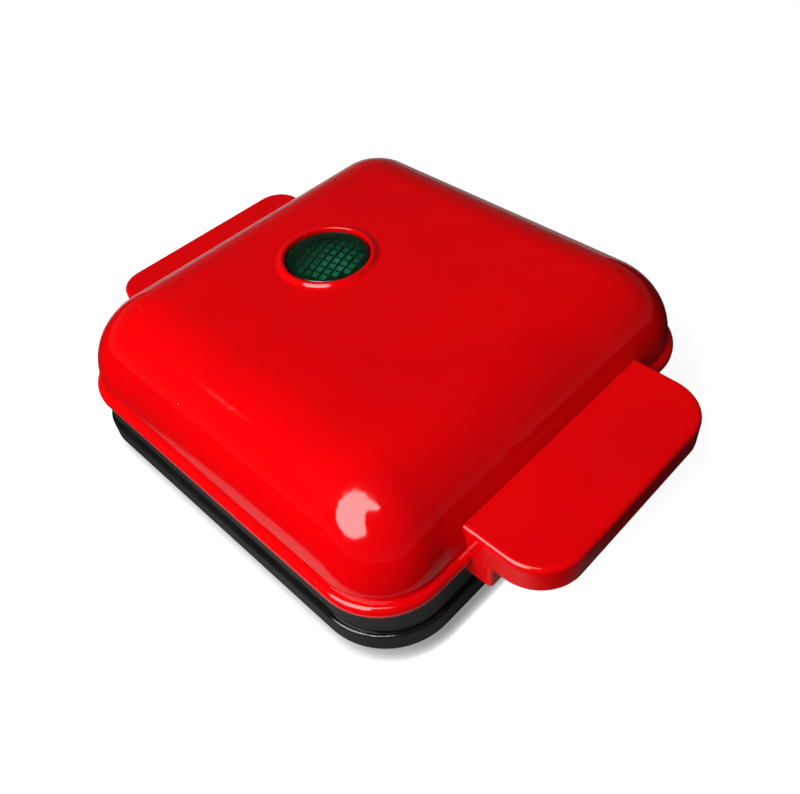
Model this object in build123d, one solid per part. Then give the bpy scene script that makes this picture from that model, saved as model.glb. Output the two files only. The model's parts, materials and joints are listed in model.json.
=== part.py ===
from build123d import *
from math import asin, cos, radians, sin, sqrt, tan
import os

# Mini waffle maker with a domed lid, hinged at the rear.
# Origin on the surface it stands on, under the middle of the lid.
# X to the right, Y from the front handle to the rear hinge, Z up. Millimetres.

# Plan sizes: half a side of the lid's skirt, setbacks from it, and corner radii
skirt_half = 66.2
skirt_corner = 18.8
skirt_proud = 1.8
dome_corner = 18.2
base_setback = 4.3
front_setback = 5.3
base_corner = 20.4
rear_corner = 16.2
foot_band_proud = 1.1
handle_reach = 22.3

# Heights, the lid's measured from where it meets the base
base_low = 2.0
meeting_height = 30.0
lid_rise = 30.3
skirt_height = 4.4
foot_band_height = 7.5

# Lid shell
lid_wall = 2.2
shoulder_radius = 24.5
roof_corner = 1.05
shoulder_steps = 7
skirt_round = 1.9

# Clearances
fit_gap = 0.1
slide_gap = 0.4
housing_gap = 0.4
screw_gap = 0.02
pin_gap = 0.05
swing_gap = 1.0

# How far a cut runs past the part, and how far joined parts run into each other
past = 1.0
bite = 0.5

# Waffle plates
plate_margin = 9.4
plate_corner = 16.0
flange_thickness = 2.4
land_width = 4.5
cavity_corner = 13.0
cavity_depth = 8.5
cavity_draft = 12.0
plate_floor = 2.6
plate_side = 2.2
stud_count = 5
groove_width = 5.4
stud_round = 1.6
stud_height = 6.0
stud_draft = 12.0
stud_edge_gap = 2.4
boss_inset = 5.0
boss_y = 20.0
boss_radius = 3.6
boss_height = 3.0

# Tubular heating elements
element_radius = 3.2
element_inset = 15.0
element_bend = 10.0
leg_spread = 12.0
leg_bend = 7.0
leg_setback = 1.2
groove_depth = 0.8
blade_width = 6.3
blade_length = 7.0
blade_thickness = 0.8

# Reflector pans behind the plates
sheet = 0.6
pan_inset = 8.0
pan_corner = 13.0
pan_lip_inset = 1.0
pan_lip = 3.5
pan_depth = 3.2
leg_slot = 8.4

# Tongues and seats that carry the plates
tongue_width = 12.0
tongue_thickness = 2.2
tongue_reach = 4.2
seat_thickness = 2.4
seat_overlap = 1.7
rib_thickness = 2.0
rib_rise = 6.0
rib_run = 5.5
frame_flange = 3.0
frame_post = 2.6
frame_post_setback = 3.2

# Base shell
base_wall = 2.2
deck_thickness = 2.4
deck_round = 0.8
band_low_round = 1.6
band_top_round = 0.9
screw_setback = 5.4
corner_boss_radius = 3.4
base_boss_drop = 8.0
lid_boss_inset = 1.0

# Bottom cover, its vents and the feet
cover_thickness = 2.0
cover_recess = 1.2
vent_count = 6
vent_pitch = 7.0
vent_length = 26.0
vent_width = 3.0
vent_offset = 22.0
foot_radius = 5.5
foot_round = 0.8
foot_stem_radius = 2.2
foot_stem_height = 3.4
foot_inward = 9.5
foot_forward = 3.0

# Front handle
handle_half = 35.9
handle_corner = 12.6
handle_rise = 13.3
handle_fall = 0.8
handle_depth = 9.0
handle_wall = 2.4
handle_edge = 1.6
neck_reach = 5.9
neck_drop = 4.3
neck_overlap = 2.0
neck_edge = 1.2
pocket_depth = 5.4
pocket_width = 17.0
end_pocket_width = 6.0
handle_screw_x = 23.5
handle_screw_drop = 4.7

# Hinge
axis_setback = 9.8
axis_drop = 3.5
pin_radius = 2.5
pin_end = 2.0
pin_chamfer = 0.5
knuckle_radius = 6.5
knuckle_half = 22.0
arm_gap = 0.8
arm_thickness = 8.2
arm_rise = 3.4
arm_root = 3.0
hinge_rise = 7.2
hinge_depth = 9.0
hinge_corner = 8.6
hinge_edge = 1.0
hinge_screw_setback = 1.0
housing_wall = 2.4
stop_gap = 0.3
open_angle = 95.0

# Cord inlet in the rear wall of the base
cord_radius = 2.9
bushing_radius = 3.6
bushing_flange = 4.2
bushing_lip = 1.3

# Indicator lamp
lens_back = 17.9
lens_radius = 12.0
lens_gap = 0.5
lens_crown = 1.9
lens_proud = 0.4
lens_edge = 1.0
lens_wall = 1.6
lens_flange = 1.6
lens_flange_thickness = 1.4
rim_width = 3.4
rim_rise = 1.15
rim_edge = 0.45
rim_crest = 0.75
holder_ring = 2.4
holder_thickness = 2.0
holder_ear = 18.6
holder_bridge = 7.0
socket_radius = 4.2
socket_depth = 5.0
led_radius = 2.5
led_flange = 0.5
led_collar = 0.8
led_length = 7.5

# Screws
small_screw = 1.3
small_head = 2.5
small_head_height = 1.5
plate_screw_length = 6.4
cover_screw_length = 11.0
frame_screw_length = 12.0
handle_screw_length = 9.0
hinge_screw_length = 5.2
lamp_screw_length = 4.3
head_recess = 0.8
head_room = 0.4
tip_gap = 0.3
drive_depth = 0.8
drive_width = 0.7

# Controls inside the base
thermostat_cap = 8.0
thermostat_cap_height = 1.6
thermostat_body = 6.2
thermostat_height = 8.6
thermostat_tab = 4.8
thermostat_tab_x = 3.2
thermostat_tab_thickness = 0.8
thermostat_tab_length = 2.6
fuse_radius = 2.0
fuse_length = 11.0
fuse_lead = 0.6
fuse_lead_length = 9.0
fuse_x = 19.0
clip_width = 5.0
clip_ear = 6.5
block_length = 24.0
block_width = 13.0
block_height = 4.8
block_setback = 16.0
block_entry = 1.7
block_ways = 3


# Plan places that follow from the sizes above
dome_half = skirt_half - skirt_proud
dome_inside = dome_half - lid_wall
base_half = skirt_half - base_setback
base_inside = base_half - base_wall
base_front = skirt_half - front_setback
plate_half = base_half - plate_margin
plate_opening = plate_half + slide_gap
seat_opening = plate_half - seat_overlap
cavity_half = plate_half - land_width
tray_half = cavity_half + plate_side
field_half = cavity_half - cavity_depth * tan(radians(cavity_draft)) - stud_edge_gap
stud_half = field_half / stud_count - groove_width * (stud_count - 1) / (2 * stud_count)
stud_pitch = 2 * stud_half + groove_width
boss_x = cavity_half - boss_inset
element_half = cavity_half - element_inset
leg_end = tray_half - leg_setback
pan_half = cavity_half - pan_inset
pan_lip_x = cavity_half - pan_lip_inset
pan_lip_y = pan_half + pan_lip
tongue_end = boss_x - tongue_reach
lid_boss = plate_half - lid_boss_inset
overhang = skirt_half + handle_reach
neck_depth = skirt_half + neck_reach
axis_back = skirt_half + axis_setback
hinge_screw_back = skirt_half + hinge_screw_setback
arm_inner = knuckle_half + arm_gap
arm_middle = arm_inner + arm_thickness / 2
pin_half = arm_inner + arm_thickness + pin_end

# Heights that follow
lid_top = meeting_height + lid_rise
roof_inside = lid_top - lid_wall
lens_flange_low = roof_inside - lens_flange_thickness
deck_top = meeting_height - housing_gap
frame_low = meeting_height + housing_gap
plate_back = meeting_height - cavity_depth - plate_floor
tongue_top = plate_back - boss_height
pan_top = tongue_top - tongue_thickness
seat_low = meeting_height - flange_thickness - seat_thickness
cover_low = base_low + cover_recess
cover_top = cover_low + cover_thickness
base_boss_top = meeting_height - base_boss_drop
handle_top = meeting_height + handle_rise
handle_low = handle_top - handle_depth
handle_screw_height = handle_top - handle_screw_drop
neck_low = meeting_height - neck_drop
axis_height = meeting_height - axis_drop
rear_deck_top = axis_height - knuckle_radius - swing_gap
arm_top = meeting_height + arm_rise
hinge_top = meeting_height + hinge_rise
hinge_low = hinge_top - hinge_depth
inlet_height = cover_top + bushing_radius + tip_gap

# The rear wall stands where the hinge cover comes to rest against it with the lid wide open
cover_edge_rise = hinge_low - axis_height
cover_edge_back = overhang - axis_back
open_turn = radians(open_angle)
stop_back = axis_back + cover_edge_rise * sin(open_turn) + cover_edge_back * cos(open_turn)
housing_back = stop_back - stop_gap


def diagonal_inset(corner):
    """How far a corner screw stands in from both walls, a set distance from the rounded corner."""
    return corner - (corner - screw_setback) / sqrt(2)


# Corner screws of the bottom cover and the feet beside them
front_inset = diagonal_inset(base_corner - base_wall)
rear_inset = diagonal_inset(rear_corner - base_wall)
front_screw_x = base_inside - front_inset
front_screw_y = base_front - base_wall - front_inset
rear_screw_x = base_inside - rear_inset
rear_screw_y = housing_back - base_wall - rear_inset
cover_screw_places = [
    (-front_screw_x, -front_screw_y),
    (front_screw_x, -front_screw_y),
    (-rear_screw_x, rear_screw_y),
    (rear_screw_x, rear_screw_y),
]
foot_x = front_screw_x - foot_inward
front_foot_y = front_screw_y - foot_forward / 2
rear_foot_y = rear_screw_y - foot_forward
foot_places = {
    "foot_front_left": (-foot_x, -front_foot_y),
    "foot_front_right": (foot_x, -front_foot_y),
    "foot_rear_left": (-foot_x, rear_foot_y),
    "foot_rear_right": (foot_x, rear_foot_y),
}
block_back = housing_back - block_setback


def rounded_prism(half, corner, low, high):
    """Square block with rounded corners between two heights."""
    plan = RectangleRounded(2 * half, 2 * half, corner)
    return extrude(Pos(0, 0, low) * plan, high - low)


def base_block(grow, back, back_corner, low, high):
    """Block with the plan of the base, grown all round, as far back as asked."""
    front = base_front + grow
    rear = back + grow
    plan = Pos(0, (rear - front) / 2) * Rectangle(2 * (base_half + grow), rear + front)
    plan = fillet(plan.vertices().group_by(Axis.Y)[0], base_corner + grow)
    plan = fillet(plan.vertices().group_by(Axis.Y)[-1], back_corner + grow)
    return extrude(Pos(0, 0, low) * plan, high - low)


def rod(radius, start, end):
    """Round rod between two points."""
    line = Vector(*end) - Vector(*start)
    plane = Plane(origin=start, z_dir=line)
    return extrude(plane * Circle(radius), line.length)


def block(low, high):
    """Rectangular block between two opposite corners."""
    size = [high[i] - low[i] for i in range(3)]
    return Pos(*low) * Box(*size, align=(Align.MIN, Align.MIN, Align.MIN))


def across(points, half_width):
    """Side profile, given as back and height, run from one side to the other."""
    profile = make_face(Polyline(*[(0, y, z) for y, z in points], close=True))
    return extrude(profile, half_width, dir=(1, 0, 0), both=True)


def turned(outline, back):
    """Profile, given as radius and height, turned about an upright axis this far back."""
    edges = [edge for piece in outline for edge in piece.edges()]
    face = Plane.XZ * make_face(edges)
    return Pos(0, back, 0) * revolve(face, Axis.Z)


def flip(part):
    """Mirror a part of the base into the lid, about the plane where the plates meet."""
    return mirror(part, about=Plane.XY.offset(meeting_height))


def four_corners(x, y):
    return [(x, y), (-x, y), (-x, -y), (x, -y)]


# Screw with a domed head and a cross recess, its head underside at the origin, pointing down
def screw(length):
    shank = rod(small_screw, (0, 0, 0), (0, 0, -length))
    tip = shank.edges().sort_by(Axis.Z)[0]
    shank = chamfer(tip, small_screw * 0.4)
    head = rod(small_head, (0, 0, 0), (0, 0, small_head_height))
    head = fillet(head.edges().sort_by(Axis.Z)[-1], small_head_height * 0.7)
    for turn in (0, 90):
        slot = Pos(0, 0, small_head_height) * Box(small_head * 1.3, drive_width, 2 * drive_depth)
        head -= Rot(0, 0, turn) * slot
    return shank + head


def screw_group(places):
    """Several alike screws as one group of separate solids."""
    return Compound(children=[place * screw(length) for place, length in places])


# Domed body of the lid: plan sections that draw in along a quarter circle
def dome_solid(half, corner, shoulder, low, high):
    sections = [Pos(0, 0, low) * RectangleRounded(2 * half, 2 * half, corner)]
    for step in range(shoulder_steps + 1):
        angle = radians(90 * step / shoulder_steps)
        inset = shoulder * (1 - cos(angle))
        height = high - shoulder * (1 - sin(angle))
        side = 2 * (half - inset)
        round_off = corner - (corner - roof_corner) * inset / shoulder
        sections.append(Pos(0, 0, height) * RectangleRounded(side, side, round_off))
    return loft(sections)


def lid_outside(grow):
    """Dome with its proud skirt, all grown by a small gap."""
    dome = dome_solid(
        dome_half + grow,
        dome_corner + grow,
        shoulder_radius + grow,
        meeting_height - grow,
        lid_top + grow,
    )
    skirt = rounded_prism(
        skirt_half + grow,
        skirt_corner + grow,
        meeting_height - grow,
        meeting_height + skirt_height + grow,
    )
    rims = skirt.faces().sort_by(Axis.Z)
    skirt = fillet(rims[0].edges() + rims[-1].edges(), skirt_round)
    return dome + skirt


def lens_rim():
    """Soft raised ring round the lens hole."""
    hole = lens_radius + lens_gap
    crest = lid_top + rim_rise
    foot = hole + rim_width
    outline = [
        Line((hole, roof_inside), (hole, crest - rim_edge)),
        Spline(
            (hole, crest - rim_edge),
            (hole + rim_crest, crest),
            (foot, lid_top - screw_gap),
            tangents=[(0.2, 1), (1, 0)],
        ),
        Line((foot, lid_top - screw_gap), (foot, roof_inside)),
        Line((foot, roof_inside), (hole, roof_inside)),
    ]
    return turned(outline, lens_back)


def make_lid_cover():
    inside = dome_solid(
        dome_inside,
        dome_corner - lid_wall,
        shoulder_radius - lid_wall,
        meeting_height - past,
        roof_inside,
    )
    cover = lid_outside(0) - inside

    # Bosses that take the screws of the frame, from its upper face up to the roof
    boss_low = frame_low + frame_flange
    for x, y in four_corners(lid_boss, lid_boss):
        boss = rod(corner_boss_radius, (x, y, boss_low), (x, y, roof_inside)) & inside
        cover += boss
        pilot_top = frame_low + small_head_height + frame_screw_length + tip_gap
        cover -= rod(small_screw + screw_gap, (x, y, boss_low), (x, y, pilot_top))

    # Bosses that take the screws of the lamp holder
    for x in (-holder_ear, holder_ear):
        boss_top = (x, lens_back, roof_inside + bite)
        cover += rod(small_head + head_room, (x, lens_back, lens_flange_low), boss_top)
        pilot_top = lens_flange_low - holder_thickness + lamp_screw_length + tip_gap
        cover -= rod(small_screw + screw_gap, (x, lens_back, lens_flange_low), (x, lens_back, pilot_top))

    cover += lens_rim()
    hole_top = lid_top + rim_rise + past
    cover -= rod(lens_radius + lens_gap, (0, lens_back, roof_inside - past), (0, lens_back, hole_top))

    # Holes for the screws of the front handle
    for x in (-handle_screw_x, handle_screw_x):
        cover -= rod(
            small_screw + slide_gap,
            (x, -dome_inside + past, handle_screw_height),
            (x, -dome_half - past, handle_screw_height),
        )
        cover -= rod(
            small_head + slide_gap,
            (x, -dome_inside, handle_screw_height),
            (x, -dome_inside + 2 * small_head_height, handle_screw_height),
        )

    # Notches that let the two hinge arms out at the rear
    for side in (-1, 1):
        near = side * (arm_inner - slide_gap)
        far = side * (arm_inner + arm_thickness + slide_gap)
        cover -= block(
            (min(near, far), dome_inside - arm_root, meeting_height - past),
            (max(near, far), skirt_half + past, arm_top + slide_gap),
        )
    return cover


def make_lens():
    """Domed lens with a rounded edge and a flange that sits under the roof, hollow below."""
    edge_height = lid_top + lens_proud
    crown_top = edge_height + lens_crown
    crown_radius = (lens_radius**2 + lens_crown**2) / (2 * lens_crown)
    centre = crown_top - crown_radius

    # The edge's round touches the crown and the side wall
    round_r = lens_radius - lens_edge
    round_z = centre + sqrt((crown_radius - lens_edge) ** 2 - round_r**2)
    touch = asin(round_r / (crown_radius - lens_edge))
    inner_radius = crown_radius - lens_wall
    well = lens_radius - lens_wall
    well_turn = asin(well / inner_radius)
    outer = lens_radius + lens_gap + lens_flange

    def on_arc(r, z, radius, turn):
        """Point on an arc, its turn measured from straight up."""
        return (r + radius * sin(turn), z + radius * cos(turn))

    crown_end = on_arc(0, centre, crown_radius, touch)
    edge_middle = on_arc(round_r, round_z, lens_edge, (touch + radians(90)) / 2)
    well_end = on_arc(0, centre, inner_radius, well_turn)
    outline = [
        ThreePointArc((0, crown_top), on_arc(0, centre, crown_radius, touch / 2), crown_end),
        ThreePointArc(crown_end, edge_middle, (lens_radius, round_z)),
        Polyline(
            (lens_radius, round_z),
            (lens_radius, roof_inside),
            (outer, roof_inside),
            (outer, lens_flange_low),
            (well, lens_flange_low),
            well_end,
        ),
        ThreePointArc(well_end, on_arc(0, centre, inner_radius, well_turn / 2), (0, centre + inner_radius)),
        Line((0, centre + inner_radius), (0, crown_top)),
    ]
    return turned(outline, lens_back)


def make_lamp_holder():
    """Ring that presses the lens up, with a bridge and a socket for the lamp."""
    high = lens_flange_low
    low = high - holder_thickness
    outer = lens_radius + lens_gap + lens_flange
    centre = (0, lens_back)
    holder = rod(outer, (*centre, low), (*centre, high))
    holder -= rod(outer - holder_ring, (*centre, low), (*centre, high))
    for x in (-holder_ear, holder_ear):
        ear = rod(small_head + head_room, (x, lens_back, low), (x, lens_back, high))
        root = outer - holder_ring / 2
        ends = sorted((x, root if x > 0 else -root))
        web = block((ends[0], lens_back - small_head, low), (ends[1], lens_back + small_head, high))
        holder += ear + web
        holder -= rod(small_screw + screw_gap, (x, lens_back, low), (x, lens_back, high))
    inner = outer - holder_ring
    end = inner + bite
    bridge = block((-end, lens_back - holder_bridge / 2, low), (end, lens_back + holder_bridge / 2, high))
    bridge &= rod(end, (*centre, low), (*centre, high))
    holder += bridge
    holder += rod(socket_radius, (*centre, high - socket_depth), (*centre, high))
    holder -= rod(led_radius + pin_gap, (*centre, high - socket_depth), (*centre, high))
    return holder


def make_lamp():
    """Small round lamp that stands in the socket on its collar."""
    high = lens_flange_low
    tip = high - socket_depth + led_length
    body = rod(led_radius, (0, lens_back, high - socket_depth), (0, lens_back, tip - led_radius))
    body += Pos(0, lens_back, tip - led_radius) * Sphere(led_radius)
    collar = rod(led_radius + led_flange, (0, lens_back, high), (0, lens_back, high + led_collar))
    return body + collar


# Waffle plate of the base, with its land at the height where the plates meet
def stud_field():
    """Tapered square studs in rows, trimmed where the cavity's corners round off."""
    floor_height = meeting_height - cavity_depth
    foot = RectangleRounded(2 * stud_half, 2 * stud_half, stud_round)
    stud = extrude(foot, stud_height + bite, taper=stud_draft)
    reach = (stud_count - 1) / 2
    studs = []
    for row in range(stud_count):
        for column in range(stud_count):
            x = (column - reach) * stud_pitch
            y = (row - reach) * stud_pitch
            studs.append(Pos(x, y, floor_height - bite) * stud)
    half = field_half + slide_gap
    plan = RectangleRounded(2 * half, 2 * half, cavity_corner - stud_edge_gap)
    room = extrude(Pos(0, 0, floor_height - bite) * plan, stud_height + bite, taper=stud_draft)
    return [stud & room if on_edge(index) else stud for index, stud in enumerate(studs)]


def on_edge(index):
    """True for the four studs in the corners of the field."""
    row, column = divmod(index, stud_count)
    last = stud_count - 1
    return row in (0, last) and column in (0, last)


def make_lower_plate():
    flange_low = meeting_height - flange_thickness
    plate = rounded_prism(plate_half, plate_corner, flange_low, meeting_height)
    tray_corner = cavity_corner + plate_side
    tray = rounded_prism(tray_half, tray_corner, plate_back, flange_low)
    tray = fillet(tray.faces().sort_by(Axis.Z)[0].edges(), plate_floor)
    plate += tray
    mouth = RectangleRounded(2 * cavity_half, 2 * cavity_half, cavity_corner)
    cavity = extrude(Pos(0, 0, meeting_height) * mouth, -cavity_depth, taper=cavity_draft)
    plate -= cavity
    plate += stud_field()
    for x, y in four_corners(boss_x, boss_y):
        plate += rod(boss_radius, (x, y, tongue_top), (x, y, plate_back + bite))
        pilot_depth = plate_screw_length - tongue_thickness - sheet + tip_gap
        plate -= rod(small_screw + screw_gap, (x, y, tongue_top), (x, y, tongue_top + pilot_depth))
    plate -= element_tube(element_radius + screw_gap, False)
    return plate


# Tubular element behind the plate, bent to an open loop with two legs to the rear
def element_tube(radius, with_blades):
    height = plate_back + groove_depth - element_radius
    points = [
        (leg_spread, leg_end, height),
        (leg_spread, element_half, height),
        (element_half, element_half, height),
        (element_half, -element_half, height),
        (-element_half, -element_half, height),
        (-element_half, element_half, height),
        (-leg_spread, element_half, height),
        (-leg_spread, leg_end, height),
    ]
    bends = [leg_bend, element_bend, element_bend, element_bend, element_bend, leg_bend]
    path = FilletPolyline(*points, radius=bends)
    tube = sweep(Plane(origin=points[0], z_dir=(0, -1, 0)) * Circle(radius), path=path)
    if with_blades:
        for x in (-leg_spread, leg_spread):
            low = (x - blade_width / 2, leg_end - bite, height - blade_thickness / 2)
            high = (x + blade_width / 2, leg_end + blade_length, height + blade_thickness / 2)
            tube += block(low, high)
    return tube


# Sheet pan that reflects the heat back, screwed on with the plate
def make_reflector(with_thermostat_hole):
    lip_low = pan_top - sheet
    pan_low = pan_top - pan_depth
    lip = extrude(Pos(0, 0, lip_low) * RectangleRounded(2 * pan_lip_x, 2 * pan_lip_y, pan_corner), sheet)
    outer = rounded_prism(pan_half, pan_corner, pan_low, pan_top)
    inner = rounded_prism(pan_half - sheet, pan_corner - sheet, pan_low + sheet, pan_top + past)
    pan = lip + outer - inner
    for x in (-leg_spread, leg_spread):
        low = (x - leg_slot / 2, pan_half - pan_lip, pan_low + sheet + slide_gap)
        pan -= block(low, (x + leg_slot / 2, pan_lip_y + past, pan_top + past))
    for x, y in four_corners(boss_x, boss_y):
        pan -= rod(small_screw + slide_gap, (x, y, lip_low - past), (x, y, pan_top + past))
    if with_thermostat_hole:
        pan -= rod(thermostat_cap + slide_gap, (0, 0, pan_low - past), (0, 0, pan_top + past))
    return pan


def seat_ring(low, high, half_outer, corner_outer):
    """Ring with a ledge that carries the plate's flange, open inside for its tray."""
    opening_corner = plate_corner + slide_gap
    ring = rounded_prism(half_outer, corner_outer, low, high)
    ring -= rounded_prism(plate_opening, opening_corner, low + seat_thickness, high + past)
    ring -= rounded_prism(seat_opening, opening_corner - seat_overlap, low - past, high + past)
    return ring


def tongues(wall, rise):
    """Four tongues from the side walls to the screw bosses of the plate, each with a rib."""
    top = tongue_top
    low = pan_top
    parts = []
    for x, y in four_corners(boss_x, boss_y):
        side = 1 if x > 0 else -1
        ends = sorted((side * tongue_end, side * wall))
        tongue = block((ends[0], y - tongue_width / 2, low), (ends[1], y + tongue_width / 2, top))
        corners = [
            (side * wall, y - rib_thickness / 2, top),
            (side * (wall - rib_run), y - rib_thickness / 2, top),
            (side * wall, y - rib_thickness / 2, top + rise),
        ]
        rib = extrude(make_face(Polyline(*corners, close=True)), rib_thickness, dir=(0, 1, 0))
        tongue += rib
        tongue -= rod(small_screw + screw_gap, (x, y, low - past), (x, y, top + past))
        parts.append(tongue)
    return parts


def hinge_housing():
    """Neck on the rear deck that ends in the hinge knuckle and stops the lid."""
    neck_top = deck_top - tip_gap
    neck = across(
        [
            (base_inside + bite, rear_deck_top - deck_thickness),
            (housing_back, rear_deck_top - deck_thickness),
            (housing_back, axis_height),
            (axis_back - 0.9 * knuckle_radius, neck_top),
            (base_inside + bite, neck_top),
        ],
        knuckle_half,
    )
    knuckle = rod(
        knuckle_radius,
        (-knuckle_half, axis_back, axis_height),
        (knuckle_half, axis_back, axis_height),
    )
    return neck + knuckle


def housing_hollow():
    """Room for the leads inside the neck, open to the inside of the base."""
    inner_back = housing_back - base_wall
    knuckle_side = axis_back - knuckle_radius - past
    floor = rear_deck_top - deck_thickness - past
    roof = deck_top - tip_gap - deck_thickness
    return across(
        [
            (base_inside - base_wall, floor),
            (inner_back, floor),
            (inner_back, axis_height - knuckle_radius - housing_wall),
            (knuckle_side, axis_height - knuckle_radius),
            (knuckle_side, roof),
            (base_inside - base_wall, roof),
        ],
        knuckle_half - housing_wall,
    )


def outer_base():
    """Square upper part, the lower deck behind it and the proud band round the foot."""
    upper = base_block(0, base_half, base_corner, base_low, deck_top)
    upper = fillet(upper.faces().sort_by(Axis.Z)[-1].edges(), deck_round)
    lower = base_block(0, housing_back, rear_corner, base_low, rear_deck_top)
    lower = fillet(lower.faces().sort_by(Axis.Z)[-1].edges(), deck_round)
    band_top = base_low + foot_band_height
    band = base_block(foot_band_proud, housing_back, rear_corner, base_low, band_top)
    band = fillet(band.faces().sort_by(Axis.Z)[0].edges(), band_low_round)
    band = fillet(band.faces().sort_by(Axis.Z)[-1].edges(), band_top_round)
    return upper + lower + band + hinge_housing()


def make_base_shell():
    shell = outer_base()
    shell -= base_block(-base_wall, base_half, base_corner, base_low - past, deck_top - deck_thickness)
    rear_roof = rear_deck_top - deck_thickness
    shell -= base_block(-base_wall, housing_back, rear_corner, base_low - past, rear_roof)
    shell -= rounded_prism(plate_half, plate_corner, seat_low, deck_top + past)
    shell += seat_ring(seat_low, deck_top, plate_opening + base_wall, plate_corner + base_wall)
    shell -= housing_hollow()
    shell += tongues(base_inside + bite, rib_rise)

    # Bosses for the screws of the bottom cover, each with a web to the side wall
    for x, y in cover_screw_places:
        top = base_boss_top if y < 0 else rear_roof + bite
        shell += rod(corner_boss_radius, (x, y, cover_top), (x, y, top))
        near, far = sorted((x, (base_inside + bite) * (1 if x > 0 else -1)))
        shell += block((near, y - rib_thickness / 2, cover_top), (far, y + rib_thickness / 2, top))
        pilot_top = cover_low + head_recess + cover_screw_length + tip_gap
        shell -= rod(small_screw + screw_gap, (x, y, cover_top), (x, y, pilot_top))
    shell -= rod(
        pin_radius,
        (-knuckle_half - past, axis_back, axis_height),
        (knuckle_half + past, axis_back, axis_height),
    )

    # Hole for the bushing and room for its flange in the band
    band_back = housing_back + foot_band_proud + past
    front = housing_back - base_wall - bushing_lip
    shell -= rod(bushing_radius, (0, front, inlet_height), (0, band_back, inlet_height))
    shell -= rod(bushing_flange + slide_gap, (0, housing_back, inlet_height), (0, band_back, inlet_height))
    return shell


def make_lid_frame():
    """Frame inside the lid: seats the upper plate and reaches back to the hinge pin."""
    outer = dome_inside - slide_gap
    outer_corner = dome_corner - lid_wall
    seat_high = 2 * meeting_height - seat_low
    frame = rounded_prism(outer, outer_corner, frame_low, frame_low + frame_flange)
    frame -= rounded_prism(plate_half, plate_corner, frame_low - past, frame_low + frame_flange + past)
    ring = seat_ring(seat_low, deck_top, plate_opening + base_wall, plate_corner + base_wall)
    frame += flip(ring)
    post_wall = outer - frame_post_setback
    for x, y in four_corners(boss_x, boss_y):
        side = 1 if x > 0 else -1
        ends = sorted((side * (post_wall - frame_post), side * post_wall))
        frame += block(
            (ends[0], y - tongue_width / 2, frame_low),
            (ends[1], y + tongue_width / 2, 2 * meeting_height - pan_top),
        )
    frame += [flip(part) for part in tongues(post_wall, rib_rise)]
    for x, y in four_corners(lid_boss, lid_boss):
        frame -= rod(small_screw + slide_gap, (x, y, frame_low - past), (x, y, seat_high + past))
        frame -= rod(small_head + slide_gap, (x, y, frame_low - past), (x, y, frame_low + small_head_height))
        relief_low = frame_low + frame_flange
        frame -= rod(corner_boss_radius + slide_gap, (x, y, relief_low), (x, y, seat_high + past))

    # Two goose-necked arms with running bores for the pin
    for side in (-1, 1):
        near, far = sorted((side * arm_inner, side * (arm_inner + arm_thickness)))
        arm = block((near, outer - arm_root, frame_low), (far, axis_back, arm_top))
        arm += rod(knuckle_radius, (near, axis_back, axis_height), (far, axis_back, axis_height))
        bore_start = (near - past, axis_back, axis_height)
        arm -= rod(pin_radius + pin_gap, bore_start, (far + past, axis_back, axis_height))
        arm -= rod(
            small_screw + slide_gap,
            (side * arm_middle, hinge_screw_back, frame_low - past),
            (side * arm_middle, hinge_screw_back, arm_top + past),
        )
        frame += arm
    return frame


# Flat paddle that points to the front, its top falling gently outward
def paddle(half, corner, inner, outer, top, fall, low):
    plan = Pos(0, -(inner + outer) / 2) * Rectangle(2 * half, outer - inner)
    plan = fillet(plan.vertices().group_by(Axis.Y)[0], corner)
    body = extrude(Pos(0, 0, low) * plan, top - low + past)
    side = across(
        [
            (-inner + past, low - past),
            (-inner + past, top),
            (-outer, top - fall),
            (-outer - past, low - past),
        ],
        half + past,
    )
    return body & side


def round_top(body, inner, radius):
    """Round the upper edges of a paddle, apart from the one that meets the lid."""
    top = body.faces().sort_by(Axis.Z)[-1]
    edges = [edge for edge in top.edges() if edge.center().Y < -inner - fit_gap]
    return fillet(edges, radius)


def make_front_handle():
    inner = dome_inside - neck_overlap
    outside = paddle(handle_half, handle_corner, inner, overhang, handle_top, handle_fall, handle_low)
    outside = round_top(outside, inner, handle_edge)
    hollow = paddle(
        handle_half - handle_wall,
        handle_corner - handle_wall,
        neck_depth + handle_wall,
        overhang - handle_wall,
        handle_top - handle_wall,
        handle_fall,
        handle_low - past,
    )
    neck_inner = base_front + swing_gap
    neck_top = handle_low + neck_overlap
    neck = block((-handle_half, -neck_depth, neck_low), (handle_half, -neck_inner, neck_top))
    neck = fillet(neck.edges().filter_by(Axis.Z).group_by(Axis.Y)[0], neck_edge)
    handle = outside + neck - hollow
    handle -= lid_outside(fit_gap)

    # Pockets in the neck, open below, with a rib between them
    pocket_front = neck_depth - handle_wall
    pocket_rear = pocket_front - pocket_depth
    first = pocket_width / 2 + handle_wall / 2
    ends = handle_half - handle_wall - end_pocket_width / 2
    for x, width in (
        (-ends, end_pocket_width),
        (-first, pocket_width),
        (first, pocket_width),
        (ends, end_pocket_width),
    ):
        handle -= block(
            (x - width / 2, -pocket_front, neck_low - past),
            (x + width / 2, -pocket_rear, handle_top - handle_wall - handle_fall),
        )
    for x in (-handle_screw_x, handle_screw_x):
        handle -= rod(
            small_screw + screw_gap,
            (x, -dome_inside, handle_screw_height),
            (x, -dome_inside - handle_screw_length - tip_gap, handle_screw_height),
        )
    return handle


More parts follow.
